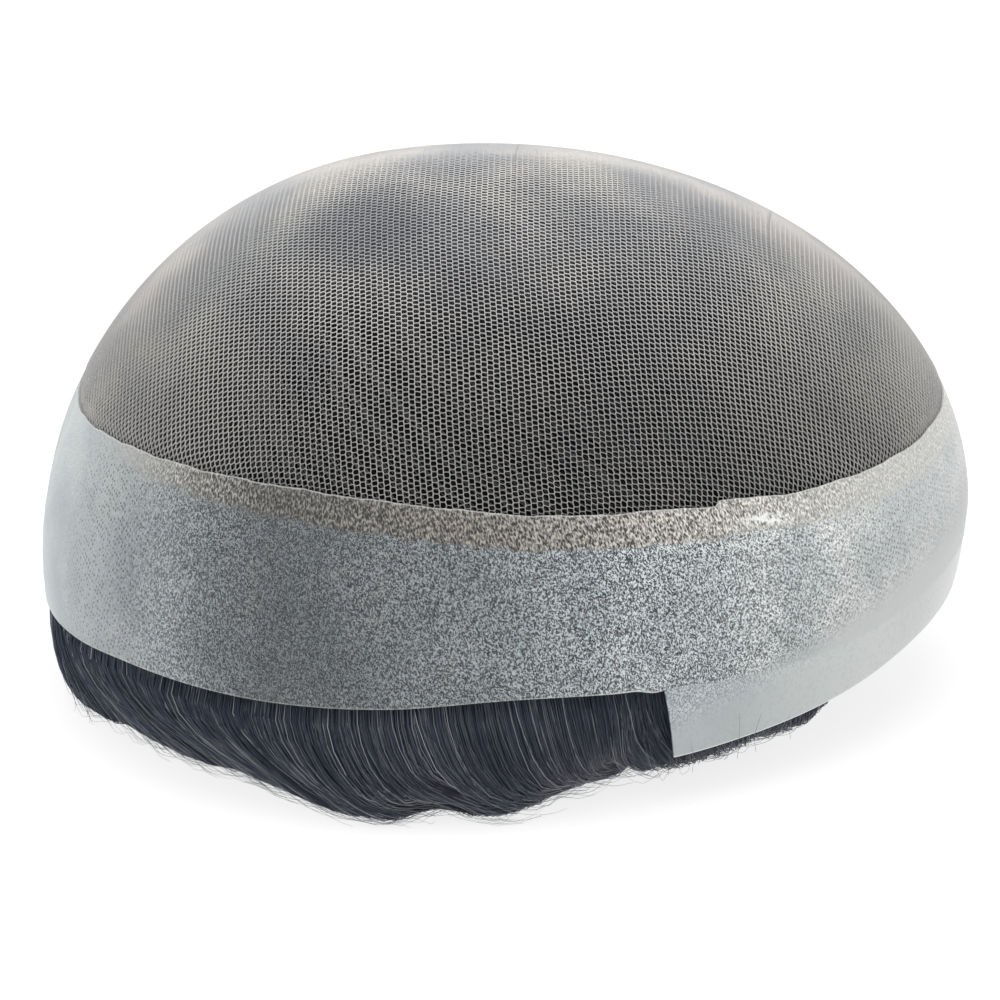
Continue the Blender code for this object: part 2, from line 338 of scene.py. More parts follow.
def edit_all(piece, change, **settings):
    """Makes one change to all faces of a piece in edit mode."""
    only(piece)
    bpy.ops.object.mode_set(mode="EDIT")
    bpy.ops.mesh.select_all(action="SELECT")
    change(**settings)
    bpy.ops.object.mode_set(mode="OBJECT")


def face_outwards(piece):
    edit_all(piece, bpy.ops.mesh.normals_make_consistent, inside=False)


def vertex_places(piece):
    places = np.empty(len(piece.data.vertices) * 3)
    piece.data.vertices.foreach_get("co", places)
    return places.reshape(-1, 3)


def add_uv(piece, name, first, second):
    """UV map from two numbers a vertex."""
    per_vertex = np.stack(np.broadcast_arrays(first, second), axis=-1).reshape(-1, 2)
    corners = np.empty(len(piece.data.loops), np.int32)
    piece.data.loops.foreach_get("vertex_index", corners)
    layer = piece.data.uv_layers.new(name=name)
    layer.data.foreach_set("uv", per_vertex[corners].astype(np.float32).ravel())


def finish_piece(piece, finish, node):
    """Gives a piece its material, hangs it on the root body and hides the solid it stands for."""
    piece.data.materials.clear()
    piece.data.materials.append(finish)
    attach(piece, "root")
    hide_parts(node)


def grid_faces(rows, columns, closed_rows, closed_columns):
    """Quads of a grid of points numbered row by row."""
    row = np.arange(rows if closed_rows else rows - 1)[:, None]
    column = np.arange(columns if closed_columns else columns - 1)[None, :]
    next_row = (row + 1) % rows
    next_column = (column + 1) % columns
    quads = (
        row * columns + column,
        next_row * columns + column,
        next_row * columns + next_column,
        row * columns + next_column,
    )
    return np.stack(np.broadcast_arrays(*quads), axis=-1).reshape(-1, 4)


def strands_piece(name, node, finish, paths, radii, shade, outwards):
    """Many three-sided hairs as one mesh. Each has its path, radii and a shade of its own."""
    count, steps = paths.shape[:2]
    along = unit(np.gradient(paths, axis=1))
    side = unit(np.cross(along, outwards))
    front = np.cross(side, along)
    rings = []
    for corner in range(3):
        turn = math.radians(90 + 120 * corner)
        reach = side * math.cos(turn) + front * math.sin(turn)
        rings.append(paths + reach * radii[..., None])
    points = np.stack(rings, axis=2)
    index = np.arange(count * steps * 3).reshape(count, steps, 3)
    ahead = np.roll(index, -1, axis=2)
    quads = np.stack((index[:, :-1], index[:, 1:], ahead[:, 1:], ahead[:, :-1]), axis=-1)
    caps = np.concatenate((index[:, 0, ::-1], index[:, -1]))
    piece = piece_from_arrays(name, points.reshape(-1, 3), quads.reshape(-1, 4), caps)
    length = np.broadcast_to(np.linspace(0, 1, steps)[None, :, None], points.shape[:3])
    shades = np.broadcast_to(shade[:, None, None], points.shape[:3])
    for title, values in (("shade", shades), ("along", length)):
        layer = piece.data.attributes.new(title, "FLOAT", "POINT")
        layer.data.foreach_set("value", np.ascontiguousarray(values, np.float32).ravel())
    finish_piece(piece, finish, node)


# Finishes


class Socket:
    """An output in a material. Sums on it add Math nodes."""

    def __init__(self, finish, output):
        self.finish = finish
        self.output = output

    def maths(self, operation, first, second):
        settings = {"operation": operation}
        return self.finish.node("ShaderNodeMath", settings, {0: first, 1: second})

    def __add__(self, other):
        return self.maths("ADD", self, other)

    def __sub__(self, other):
        return self.maths("SUBTRACT", self, other)

    def __rsub__(self, other):
        return self.maths("SUBTRACT", other, self)

    def __mul__(self, other):
        return self.maths("MULTIPLY", self, other)

    def __truediv__(self, other):
        return self.maths("DIVIDE", self, other)

    __radd__ = __add__
    __rmul__ = __mul__


class Finish:
    """A material in the making."""

    def __init__(self, name, **fixed):
        self.material = bpy.data.materials.new(name)
        self.material.use_nodes = True
        self.tree = self.material.node_tree
        self.shader = self.tree.nodes["Principled BSDF"]
        for title, value in fixed.items():
            self.shader.inputs[title.replace("_", " ")].default_value = value

    def node(self, kind, settings=None, inputs=None, output=0):
        made = self.tree.nodes.new(kind)
        for title, value in (settings or {}).items():
            setattr(made, title, value)
        for title, value in (inputs or {}).items():
            self.feed(made.inputs[title], value)
        return Socket(self, made.outputs[output])

    def feed(self, socket, value):
        if isinstance(value, Socket):
            self.tree.links.new(value.output, socket)
        else:
            socket.default_value = value

    def place(self):
        return self.node("ShaderNodeTexCoord", output="Object")

    def height(self):
        return self.node("ShaderNodeSeparateXYZ", None, {0: self.place()}, 2)

    def uv(self, name):
        """The two numbers of a UV map."""
        vector = self.node("ShaderNodeUVMap", {"uv_map": name})
        split = self.node("ShaderNodeSeparateXYZ", None, {0: vector}).output.node
        return Socket(self, split.outputs[0]), Socket(self, split.outputs[1])

    def attribute(self, name):
        return self.node("ShaderNodeAttribute", {"attribute_name": name}, output="Fac")

    def vector(self, x=0.0, y=0.0, z=0.0):
        return self.node("ShaderNodeCombineXYZ", None, {0: x, 1: y, 2: z})

    def noise(self, where, scale, detail=2.0, roughness=0.5):
        inputs = {"Vector": where, "Scale": scale, "Detail": detail, "Roughness": roughness}
        return self.node("ShaderNodeTexNoise", None, inputs)

    def cells(self, where, scale=1.0, randomness=1.0, output="Distance"):
        """Distance from the middle of the nearest cell, or that cell's own colour."""
        inputs = {"Vector": where, "Scale": scale, "Randomness": randomness}
        return self.node("ShaderNodeTexVoronoi", None, inputs, output)

    def step(self, value, low, high, start=0.0, end=1.0):
        """A soft step from start at low to end at high."""
        settings = {"interpolation_type": "SMOOTHSTEP"}
        inputs = {0: value, 1: low, 2: high, 3: start, 4: end}
        return self.node("ShaderNodeMapRange", settings, inputs)

    def curve(self, value, stops):
        """A grey that follows stops of place and tone."""
        ramp = self.node("ShaderNodeValToRGB", None, {0: value})
        elements = ramp.output.node.color_ramp.elements
        while len(elements) < len(stops):
            elements.new(1.0)
        for element, (place, tone) in zip(elements, stops):
            element.position = place
            element.color = (tone, tone, tone, 1.0)
        return ramp

    def mix(self, share, first, second, blend="MIX"):
        made = self.tree.nodes.new("ShaderNodeMix")
        made.data_type = "RGBA"
        made.blend_type = blend
        sockets = {socket.identifier: socket for socket in made.inputs}
        for title, value in (("Factor_Float", share), ("A_Color", first), ("B_Color", second)):
            if isinstance(value, tuple):
                value = (*value, 1.0)
            self.feed(sockets[title], value)
        outputs = {socket.identifier: socket for socket in made.outputs}
        return Socket(self, outputs["Result_Color"])

    def times(self, colour, factors):
        """A colour multiplied by another, channel by channel."""
        return self.mix(1.0, colour, factors, "MULTIPLY")

    def bump(self, height, distance, strength=1.0):
        inputs = {"Height": height, "Distance": distance, "Strength": strength}
        self.set("Normal", self.node("ShaderNodeBump", None, inputs))

    def set(self, title, value):
        self.feed(self.shader.inputs[title], value)


# Middle and reach of a patch of painted shade on the net
BLUISH_PLACE = (-0.020, 0.028, 0.093)
BLUISH_REACH = 0.017


def painted_shade_patch(made, place):
    """Painted shade: a darker bluish patch on the net, high on the left towards the back."""
    settings = {"operation": "SUBTRACT"}
    spot = made.node("ShaderNodeVectorMath", settings, {0: place, 1: BLUISH_PLACE})
    away = made.node("ShaderNodeVectorMath", {"operation": "LENGTH"}, {0: spot}, 1)
    return made.step(away, BLUISH_REACH, 0.004)


def net_thread():
    made = Finish(
        "net_thread", Roughness=0.75, Sheen_Weight=0.35, Sheen_Roughness=0.4,
        Specular_IOR_Level=0.25,
    )
    place = made.place()
    patches = made.step(made.noise(place, 52.0, 3.0), 0.35, 0.65)
    fibres = made.noise(place, 2600.0, 2.0)
    low = made.mix(patches, (0.355, 0.351, 0.348), (0.462, 0.448, 0.432))
    high = made.mix(patches, (0.58, 0.59, 0.61), (0.80, 0.775, 0.75))
    # Painted highlight: the threads are paler towards the top of the crown, where the light from
    # above falls on them
    colour = made.mix(made.step(made.height(), BAND_TOP_HEIGHT + 0.0015, 0.097), low, high)
    colour = made.mix(made.step(fibres, 0.4, 0.7) * 0.5, colour, (0.60, 0.57, 0.54))
    # Painted shade: a darker bluish patch on the threads, high on the left towards the back
    colour = made.mix(painted_shade_patch(made, place) * 0.75, colour, (0.30, 0.325, 0.36))
    made.set("Base Color", colour)
    made.bump(fibres, 0.00004, 0.6)
    return made.material


# Tones along the band, each after its degrees from the front: darkest in the middle of the side,
# where the dark hair shows through the film, and painted paler towards front and back as painted
# reflection where the film turns away
BAND_TONES = (
    (0, 0.55), (30, 0.54), (48, 0.52), (61, 0.415), (68, 0.285), (79, 0.21), (91, 0.13),
    (101, 0.10), (112, 0.068), (120, 0.060), (130, 0.115), (138, 0.21), (149, 0.29),
    (163, 0.385), (180, 0.46),
)
# Tones and width of the margin where the net is lapped under, after shares of 180 degrees; the
# tones are painted paler towards front and back as painted reflection, as on the band
LAP_TONES = (
    (0.0, 0.53), (0.2, 0.47), (0.3, 0.37), (0.38, 0.25), (0.47, 0.14), (0.57, 0.078),
    (0.66, 0.053), (0.74, 0.13), (0.84, 0.34), (0.95, 0.48),
)
LAP_WIDTHS = (
    (0.0, 0.50), (0.16, 0.53), (0.5, 0.60), (0.63, 0.55), (0.75, 0.44), (0.86, 0.28), (1.0, 0.1),
)
# Where the knots end over the strip, after shares of its half span
GRIT_ENDS = (
    (0.0, 1.0), (0.22, 0.78), (0.5, 0.66), (0.62, 0.60), (0.78, 0.42), (0.9, 0.24), (1.0, 0.0),
)
ROW_LEAN = math.radians(28)
# The strip's tone, painted paler towards the front (STRIP_TONE_FRONT) as painted reflection where
# the film turns away
STRIP_TONE = (0.315, 0.345, 0.36)
STRIP_TONE_FRONT = (0.475, 0.495, 0.485)
# Painted highlight on the cut edges
CUT_EDGE_HIGHLIGHT = (0.60, 0.61, 0.59)
BEIGE = (1.0, 0.965, 0.905)
BEIGE_AWAY = (0.97, 0.985, 0.965)


def strip_tone(made, degrees):
    # Painted reflection: paler towards the front
    return made.mix(made.step(degrees, 74.0, 44.0), STRIP_TONE, STRIP_TONE_FRONT)


def grit_end(made, above_foot, degrees):
    """1 over the band, falling to 0 along the slanting line past which the strip is clear."""
    line = made.curve(degrees / STRIP_HALF_SPAN, GRIT_ENDS) * 20.0 - 9.0
    in_front = made.step(degrees, STRIP_HALF_SPAN + 1.5, STRIP_HALF_SPAN - 1.5)
    return 1.0 - in_front * made.step(above_foot - line, 5.0, -4.0)


def add_grit(made, base, gritty, glint, round_it, below_top):
    """Pale and dark specks of the knots under the film."""
    grit = made.cells(made.vector(round_it * 6.0, below_top * 4.5), output="Color")
    fine = made.cells(made.vector(round_it * 4.4, below_top * 3.6))
    pale = made.times(base, glint)
    base = made.mix(gritty * made.step(grit, 0.48, 0.64), base, pale)
    base = made.mix(gritty * made.step(grit, 0.50, 0.34), base, (0.011, 0.015, 0.019))
    return made.mix(gritty * made.step(fine, 0.30, 0.10) * 0.55, base, (0.55, 0.58, 0.59)), grit


def row_knots(made, round_it, below_top):
    """Slanting rows of knots, each a short upright tick."""
    rows = round_it * math.cos(ROW_LEAN) + below_top * math.sin(ROW_LEAN)
    steps = (below_top * math.cos(ROW_LEAN) - round_it * math.sin(ROW_LEAN)) * 0.85
    return made.step(made.cells(made.vector(rows, steps), 1.25, 0.35), 0.38, 0.16)


def add_lap(made, base, gritty, round_it, below_top, degrees):
    """The beige margin where the net is lapped under the film."""
    width = made.curve(degrees / 180.0, LAP_WIDTHS) * 10.0
    ragged = made.noise(made.place(), 900.0, 2.0) * 1.1 - 0.55
    from_side = made.node("ShaderNodeMath", {"operation": "ABSOLUTE"}, {0: degrees - 90.0})
    clear_of_side = made.step(from_side, 14.0, 48.0)
    edge = (below_top + ragged - width) / (clear_of_side * 1.3 + 0.25)
    streaks = made.noise(made.vector(round_it * 3.1, below_top * 1.5), 1.0, 1.0)
    dashes = made.cells(made.vector(round_it * 2.3, below_top * 1.3))
    beige = made.mix(clear_of_side * 0.7, BEIGE, BEIGE_AWAY)
    # Painted reflection: the lap's tone is paler towards front and back
    beige = made.times(made.curve(degrees / 180.0, LAP_TONES), beige)
    glint = made.mix(made.step(degrees, 84.0, 112.0), (2.8, 2.72, 2.6), (3.7, 3.62, 3.5))
    straw = made.times(beige, glint)
    beige = made.mix(gritty * made.step(streaks, 0.46, 0.58), beige, straw)
    beige = made.mix(gritty * made.step(dashes, 0.56, 0.30) * 0.95, beige, (0.014, 0.013, 0.012))
    inside = made.step(edge, 1.0, -1.0) * made.step(degrees, 168.0, 140.0)
    return made.mix(inside, base, beige)


def painted_highlight_spot(made, round_it, below_top):
    """Painted highlight: a small pale spot a little in front of the small step in the top edge."""
    middle = float(arc_round(FRAY_ANGLE + 6.0, BAND_MIDDLE))
    along = (round_it - middle) / 6.5
    down = (below_top - 4.1) / 1.4
    highlight_spot = made.step(along * along + down * down, 1.0, 0.2)
    return highlight_spot * made.step(made.noise(made.place(), 1100.0, 2.0), 0.42, 0.58)


def knotted_film():
    """The band's film over rows of tiny hair knots, with the net lapped under its top."""
    made = Finish("knotted_film", Roughness=0.42, Coat_Weight=0.12, Coat_Roughness=0.3)
    round_it, below_top = made.uv("film")
    above_foot, degrees = made.uv("edges")
    # The knots fade out over the clear strip
    fading = grit_end(made, above_foot, degrees)
    gritty = made.step(degrees, 152.0, 124.0, 0.12, 1.0) * fading
    gritty = gritty * made.step(degrees, 32.0, 74.0, 0.22, 1.0)
    dotted = made.step(degrees, 176.0, 150.0) * made.step(degrees, 10.0, 60.0, 0.4, 1.0) * fading
    knot = row_knots(made, round_it, below_top)
    clouds = made.step(made.noise(made.place(), 85.0, 3.0), 0.3, 0.7)
    tones = [(turn / 180.0, grey) for turn, grey in BAND_TONES]
    shade = made.mix(clouds, (0.77, 0.85, 0.89), (1.01, 1.07, 1.09))
    # The band's tone, with its painted reflection towards front and back
    base = made.times(made.curve(degrees / 180.0, tones), shade)
    base = made.mix(made.step(degrees, 80.0, 55.0), base, made.times(base, (1.05, 1.0, 0.97)))
    # Painted shade: the lower half of the band is darkened in front, above the strip
    painted_low_shade = made.step(below_top, 9.0, 18.0) * made.step(degrees, 64.0, 48.0) * 0.16
    base = made.mix(painted_low_shade, base, (0.10, 0.12, 0.13))
    glint = made.mix(made.step(degrees, 76.0, 58.0), (2.75, 2.8, 2.8), (2.05, 2.08, 2.08))
    base, grit = add_grit(made, base, gritty, glint, round_it, below_top)
    base = made.mix(dotted * knot * 0.72, base, (0.035, 0.042, 0.048))
    colour = add_lap(made, base, gritty, round_it, below_top, degrees)
    # Painted highlight: a small pale spot below the top edge, near its step
    highlight_spot = painted_highlight_spot(made, round_it, below_top)
    colour = made.mix(highlight_spot * 0.9, colour, (0.84, 0.85, 0.84))
    # Over the clear strip the foot takes on the strip's tone
    colour = made.mix(1.0 - fading, colour, strip_tone(made, degrees))
    # Painted highlight on the cut edges: along the top edge, and along the foot clear of the
    # strip, most beside the strip's end
    bare_foot = made.step(degrees, STRIP_HALF_SPAN - 1.0, STRIP_HALF_SPAN + 1.0)
    by_end = made.step(degrees, 84.0, 76.0) * 0.6 + 0.22
    cut = made.step(above_foot, 0.35, 0.1) * bare_foot * by_end
    colour = made.mix(cut + made.step(below_top, 0.34, 0.12) * 0.45, colour, CUT_EDGE_HIGHLIGHT)
    made.set("Base Color", colour)
    made.set("Roughness", made.step(grit, 0.3, 0.7, 0.36, 0.52))
    made.bump(knot * dotted * -0.8 + grit * gritty * 0.8, 0.00012, 0.5)
    return made.material


def clear_film():
    """The strip's clear film, with a last haze of knots below the band."""
    made = Finish("clear_film", Roughness=0.32, Coat_Weight=0.3, Coat_Roughness=0.2)
    place = made.place()
    clouds = made.noise(place, 60.0, 3.0)
    grit = made.noise(place, 1300.0, 2.0)
    round_it, below_top = made.uv("film")
    above_foot, degrees = made.uv("edges")
    above_band_foot = made.uv("weld")[0]
    colour = strip_tone(made, degrees)
    colour = made.mix(made.step(clouds, 0.35, 0.7) * 0.2, colour, (0.60, 0.63, 0.62))
    colour = made.mix(made.step(grit, 0.52, 0.64) * 0.16, colour, (0.22, 0.25, 0.26))
    fading = grit_end(made, above_band_foot, degrees)
    base = made.mix(fading * 0.3, colour, (0.22, 0.25, 0.27))
    colour = add_grit(made, base, fading * 0.42, (2.4, 2.45, 2.45), round_it, below_top)[0]
    # Painted highlight along the strip's cut foot
    colour = made.mix(made.step(above_foot, 0.35, 0.1) * 0.6, colour, (0.8, 0.82, 0.81))
    made.set("Base Color", colour)
    made.bump(clouds + grit * 0.15, 0.0002, 0.35)
    return made.material


def crested(made, colour, crest):
    """Lightens hair over the top of the dome, where it catches the light under the net."""
    return made.mix(made.step(made.height(), 0.078, 0.096) * crest, colour, (0.24, 0.25, 0.27))


def hair_strands(name, dark, light, gloss, sheen=0.0, crest=0.0):
    made = Finish(
        name, Roughness=gloss, Sheen_Weight=sheen, Sheen_Roughness=0.35,
        Specular_IOR_Level=0.55,
    )
    shade = made.attribute("shade")
    flecks = made.noise(made.place(), 240.0, 2.0)
    colour = made.mix(shade * shade, dark, light)
    colour = made.mix(made.step(flecks, 0.5, 0.75) * 0.12, colour, light)
    colour = made.mix(made.step(made.attribute("along"), 0.9, 1.0) * 0.2, colour, light)
    made.set("Base Color", crested(made, colour, crest))
    return made.material


def hair_mass(name, dark, light, across, down, sheen=0.0, shine=0.35, crest=0.0):
    """Hair as a mass: streaks that follow its UV map."""
    made = Finish(
        name, Roughness=0.5, Sheen_Weight=sheen, Sheen_Roughness=0.35,
        Specular_IOR_Level=shine,
    )
    round_it, along = made.uv("flow")
    streaks = made.noise(made.vector(round_it * across, along * down), 1.0, 4.0, 0.65)
    fine = made.noise(made.vector(round_it * across * 5.0, along * down), 1.0, 2.0)
    colour = made.mix(made.step(streaks, 0.35, 0.75), dark, light)
    made.set("Base Color", crested(made, colour, crest))
    made.bump(streaks + fine * 0.7, 0.0006, 0.8)
    return made.material


# Films


def round_film(name, sides, rows):
    """An open cylinder with its walls cut into rows: sides run round, share runs down."""
    bpy.ops.object.select_all(action="DESELECT")
    bpy.ops.mesh.primitive_cylinder_add(vertices=sides, radius=1, depth=1, end_fill_type="NOTHING")
    piece = bpy.context.object
    piece.name = piece.data.name = name
    bpy.ops.object.mode_set(mode="EDIT")
    maker = bmesh.from_edit_mesh(piece.data)
    bpy.ops.mesh.select_all(action="DESELECT")
    bpy.ops.mesh.select_mode(type="EDGE")
    for edge in maker.edges:
        edge.select_set(abs(edge.verts[0].co.z - edge.verts[1].co.z) > 0.5)
    bmesh.update_edit_mesh(piece.data)
    bpy.ops.mesh.subdivide(number_cuts=rows - 1)
    bpy.ops.object.mode_set(mode="OBJECT")
    places = vertex_places(piece)
    angle = np.degrees(np.arctan2(places[:, 0], -places[:, 1]))
    return piece, angle, 0.5 - places[:, 2]


def flat_film(name, columns, rows):
    """A flat grid: across runs from -1 to 1 and share runs down."""
    bpy.ops.object.select_all(action="DESELECT")
    bpy.ops.mesh.primitive_grid_add(x_subdivisions=columns, y_subdivisions=rows, size=1)
    piece = bpy.context.object
    piece.name = piece.data.name = name
    places = vertex_places(piece)
    return piece, places[:, 0] * 2, 0.5 - places[:, 1]


def give_wall(piece):
    """The film's thickness, inwards from the face that shows."""
    face_outwards(piece)
    face = piece.data.polygons[0]
    if face.normal.dot(face.center - Vector((0, 0, 0.02))) < 0:
        edit_all(piece, bpy.ops.mesh.flip_normals)
    solid = piece.modifiers.new("wall", "SOLIDIFY")
    solid.thickness = FILM_WALL
    solid.offset = -1.0
    bpy.ops.object.modifier_apply(modifier="wall")
    piece.data.shade_smooth()
    bpy.ops.object.shade_smooth_by_angle(angle=math.radians(50))


def set_places(piece, places):
    piece.data.vertices.foreach_set("co", np.ascontiguousarray(places, np.float32).ravel())
    piece.data.update()


def running(steps):
    """Running sum from 0 along the last axis."""
    sums = np.cumsum(steps, axis=-1)
    return np.concatenate((np.zeros_like(sums[..., :1]), sums), axis=-1)


def arc_round(angle, height):
    """Millimetres round the dome from the front, at one height, for each angle."""
    turns = np.linspace(-180, 180, 1441)
    ring = dome_point(turns, polar_at(turns, height))
    arc = running(np.linalg.norm(np.diff(ring, axis=0), axis=1))
    arc -= np.interp(0, turns, arc)
    return np.interp(angle, turns, arc) * MM


def frayed_top(angle, rng):
    """The band's top edge, with its small step and the slight waver of a cut by hand."""
    past = np.asarray(angle) - FRAY_ANGLE
    step = FRAY_STEP * (2 * eased(past / 0.8) - 1) * (1 - eased((np.abs(past) - 1) / 9))
    waver = sum(
        0.00009 / (1 + index) * np.sin(np.radians(angle) * turns + phase)
        for index, (turns, phase) in enumerate(zip((31, 67, 149, 311), rng.uniform(0, 6, 4)))
    )
    return band_top_height(angle) + step + waver


def lay_flat(half_span, height, tall):
    """Works out a film's length round the dome when it is laid flat, and keeps nothing of it;
    tall, its height, is not used.
    """
    length = float(arc_round(half_span, height) - arc_round(-half_span, height)) / MM


def skin_band(finish):
    rng = np.random.default_rng(11)
    piece, angle, share = round_film("band_film", 640, 10)
    top = polar_at(angle, frayed_top(angle, rng))
    past_notch = np.abs(from_front(angle) - STRIP_HALF_SPAN - 0.6)
    foot_height = band_foot_height(angle) - NOTCH_DIP * (1 - eased(past_notch / 2.6))
    foot = polar_at(angle, foot_height)
    polar = top * (1 - share) + foot * share
    # The lower margin settles against the strip where it covers it
    dip = over_strip(angle) * eased((share - 0.75) / 0.25) * WELD_DIP
    ripple = BACK_RIPPLE * np.sin(np.radians(angle) * 19 + 1.0)
    ripple = ripple * eased((from_front(angle) - 140) / 25)
    ripple = ripple * np.sin(np.pi * np.clip(share * 1.4, 0, 1))
    set_places(piece, inside_dome(angle, polar, dip + ripple))
    add_uv(piece, "film", arc_round(angle, BAND_MIDDLE), apart(angle, polar, top) * MM)
    add_uv(piece, "edges", apart(angle, polar, foot) * MM, from_front(angle))
    give_wall(piece)
    finish_piece(piece, finish, "skin_band")
    turns = np.arange(0, 360, 1.0)
    feet = polar_at(turns, band_foot_height(turns))
    tops = polar_at(turns, band_top_height(turns))
    lay_flat(180.0, BAND_MIDDLE, apart(turns, feet, tops))


def front_strip(finish):
    piece, across, share = flat_film("strip_film", 240, 14)
    angle = across * (STRIP_HALF_SPAN - STRIP_END_SLANT * share)
    foot = polar_at(angle, band_foot_height(angle))
    top = lower_by(angle, foot, -STRIP_LAP)
    low = polar_at(angle, strip_foot_height(angle))
    polar = top * (1 - share) + low * share
    set_places(piece, inside_dome(angle, polar, STRIP_INSET))
    band_top = polar_at(angle, band_top_height(angle))
    above_foot = apart(angle, polar, foot) * np.where(polar < foot, MM, -MM)
    add_uv(piece, "edges", apart(angle, polar, low) * MM, from_front(angle))
    add_uv(piece, "film", arc_round(angle, BAND_MIDDLE), apart(angle, polar, band_top) * MM)
    add_uv(piece, "weld", above_foot, from_front(angle))
    give_wall(piece)
    finish_piece(piece, finish, "front_strip")
    turns = np.linspace(-STRIP_HALF_SPAN, STRIP_HALF_SPAN, 145)
    lows = polar_at(turns, strip_foot_height(turns))
    tops = lower_by(turns, polar_at(turns, band_foot_height(turns)), -STRIP_LAP)
    lay_flat(STRIP_HALF_SPAN, STRIP_MIDDLE, apart(turns, lows, tops))


# The net


def dome_rise(forward, across):
    """Height of the dome over a point of its plan, and the angle there, unleaned."""
    aim, side = forward / MEAN_REACH, across / HALF_WIDTH
    reach = aim.copy()
    for _ in range(30):
        cosine = reach / np.maximum(np.hypot(reach, side), 1e-9)
        reach = aim / (1 + EGG * cosine)
    out = np.minimum(np.hypot(reach, side), 0.999)
    rise = CROWN_RISE * (1 - out**CROWN_CURVE) ** (1 / CROWN_CURVE)
    return rise, np.degrees(np.arctan2(side, reach)), np.hypot(reach, side) < 0.995


def turned(ridge, side):
    """Forward and across of a place in the net's own plan, which lies a little askew."""
    forward = ridge * math.cos(NET_TURN) + side * math.sin(NET_TURN)
    across = side * math.cos(NET_TURN) - ridge * math.sin(NET_TURN)
    return tuple(np.array(grid) for grid in np.broadcast_arrays(forward, across))


def net_lattice():
    """Junctions of the net: columns across the head at equal steps along the ridge."""
    rng = np.random.default_rng(5)
    ridge = np.linspace(-BACK_REACH, FRONT_REACH, 4001) * NET_REACH
    rise = dome_rise(*turned(ridge, 0.0))[0]
    arc = running(np.hypot(np.diff(ridge), np.diff(rise)))
    column = np.interp(np.arange(NET_PITCH / 2, arc[-1], NET_PITCH), arc, ridge)[:, None]
    side = np.linspace(-NET_REACH, NET_REACH, 3001) * HALF_WIDTH
    height = dome_rise(*turned(column, side[None, :]))[0]
    arcs = running(np.hypot(np.diff(side)[None, :], np.diff(height, axis=1)))
    arcs = arcs - arcs[:, len(side) // 2, None]
    count = int(arcs.max() / NET_STEP)
    ranks = np.arange(-count, count + 1)[None, :]
    wanted = ranks * NET_STEP
    phases = rng.uniform(0, 2 * np.pi, 6)
    # Slow waves, and a slant towards the front, keep it from looking ruled
    shift = -0.035 * np.maximum(0.0, column - 0.022)
    shift = shift + 0.00022 * np.sin(column / 0.017 + wanted / 0.031 + phases[0])
    shift = shift + 0.00012 * np.sin(column / 0.0061 - wanted / 0.013 + phases[1])
    across = np.array([np.interp(line, arc, side) for line, arc in zip(wanted + shift, arcs)])
    sway = 0.00030 * np.sin(wanted / 0.023 + column / 0.041 + phases[2])
    sway = sway + 0.00012 * np.sin(wanted / 0.0067 + column / 0.019 + phases[3])
    bar_side = np.where((np.arange(len(column))[:, None] + ranks) % 2 == 0, 1.0, -1.0)
    forward = column + sway + bar_side * NET_PITCH * 0.05
    forward = forward + rng.normal(0, 0.03, forward.shape) * NET_PITCH
    across = across + rng.normal(0, 0.06, across.shape) * NET_STEP
    forward, across = turned(forward, across)
    rise, angle, valid = dome_rise(forward, across)
    return forward, across, rise, angle, valid, bar_side


# Corners of a junction of the net, then those of the next junction below or beside it
TOP, BEFORE, AFTER, FAR, NEXT_TOP, NEXT_BEFORE, NEXT_AFTER, NEXT_FAR = range(8)
THREAD_FACES = (
    (TOP, AFTER, NEXT_FAR, NEXT_TOP),
    (TOP, NEXT_TOP, NEXT_BEFORE, FAR),
    (AFTER, FAR, NEXT_BEFORE, NEXT_FAR),
)
BAR_FACES = (
    (TOP, NEXT_TOP, NEXT_BEFORE, BEFORE),
    (TOP, AFTER, NEXT_AFTER, NEXT_TOP),
    (BEFORE, NEXT_BEFORE, NEXT_AFTER, AFTER),
)


def net_faces(mask, faces, step=0):
    """Faces at the junctions in a mask, with the next junction a step on in their numbering."""
    here = np.flatnonzero(mask)
    corners = [4 * (here + step * (corner // 4)) + corner % 4 for corner in range(8)]
    return [np.stack([corners[corner] for corner in face], axis=1) for face in faces]


def both_ends(links, axis):
    """Masks of the junctions where links start, and where they end."""
    pads = ((0, 1), (1, 0))
    return [np.pad(links, (pad, (0, 0)) if axis == 0 else ((0, 0), pad)) for pad in pads]


def net_points():
    """Four corners a junction, which junctions are used, and where their bars go."""
    forward, across, rise, angle, valid, bar_side = net_lattice()
    surface = leaned(forward, across, rise)
    beside = []
    for move_forward, move_across in (turned(NET_NUDGE, 0.0), turned(0.0, NET_NUDGE)):
        place = (forward + move_forward, across + move_across)
        beside.append(leaned(*place, dome_rise(*place)[0]) - surface)
    ahead, aside = beside
    normal = unit(np.cross(aside, ahead))
    normal = normal * np.sign(normal[..., 2:3])
    above = surface[..., 2] - band_top_height(angle)
    valid = valid & (above > -0.0012)
    sunk = 0.00012 + 0.00055 * eased((0.0022 - above) / 0.0022)
    base = surface - normal * sunk[..., None]
    side = unit(ahead) * bar_side[..., None] * THREAD_WIDTH / 2
    along = unit(aside) * BAR_WIDTH / 2
    corners = (normal * THREAD_HEIGHT, side - along, side + along, -side)
    return np.stack([base + corner for corner in corners], axis=2), valid, bar_side > 0


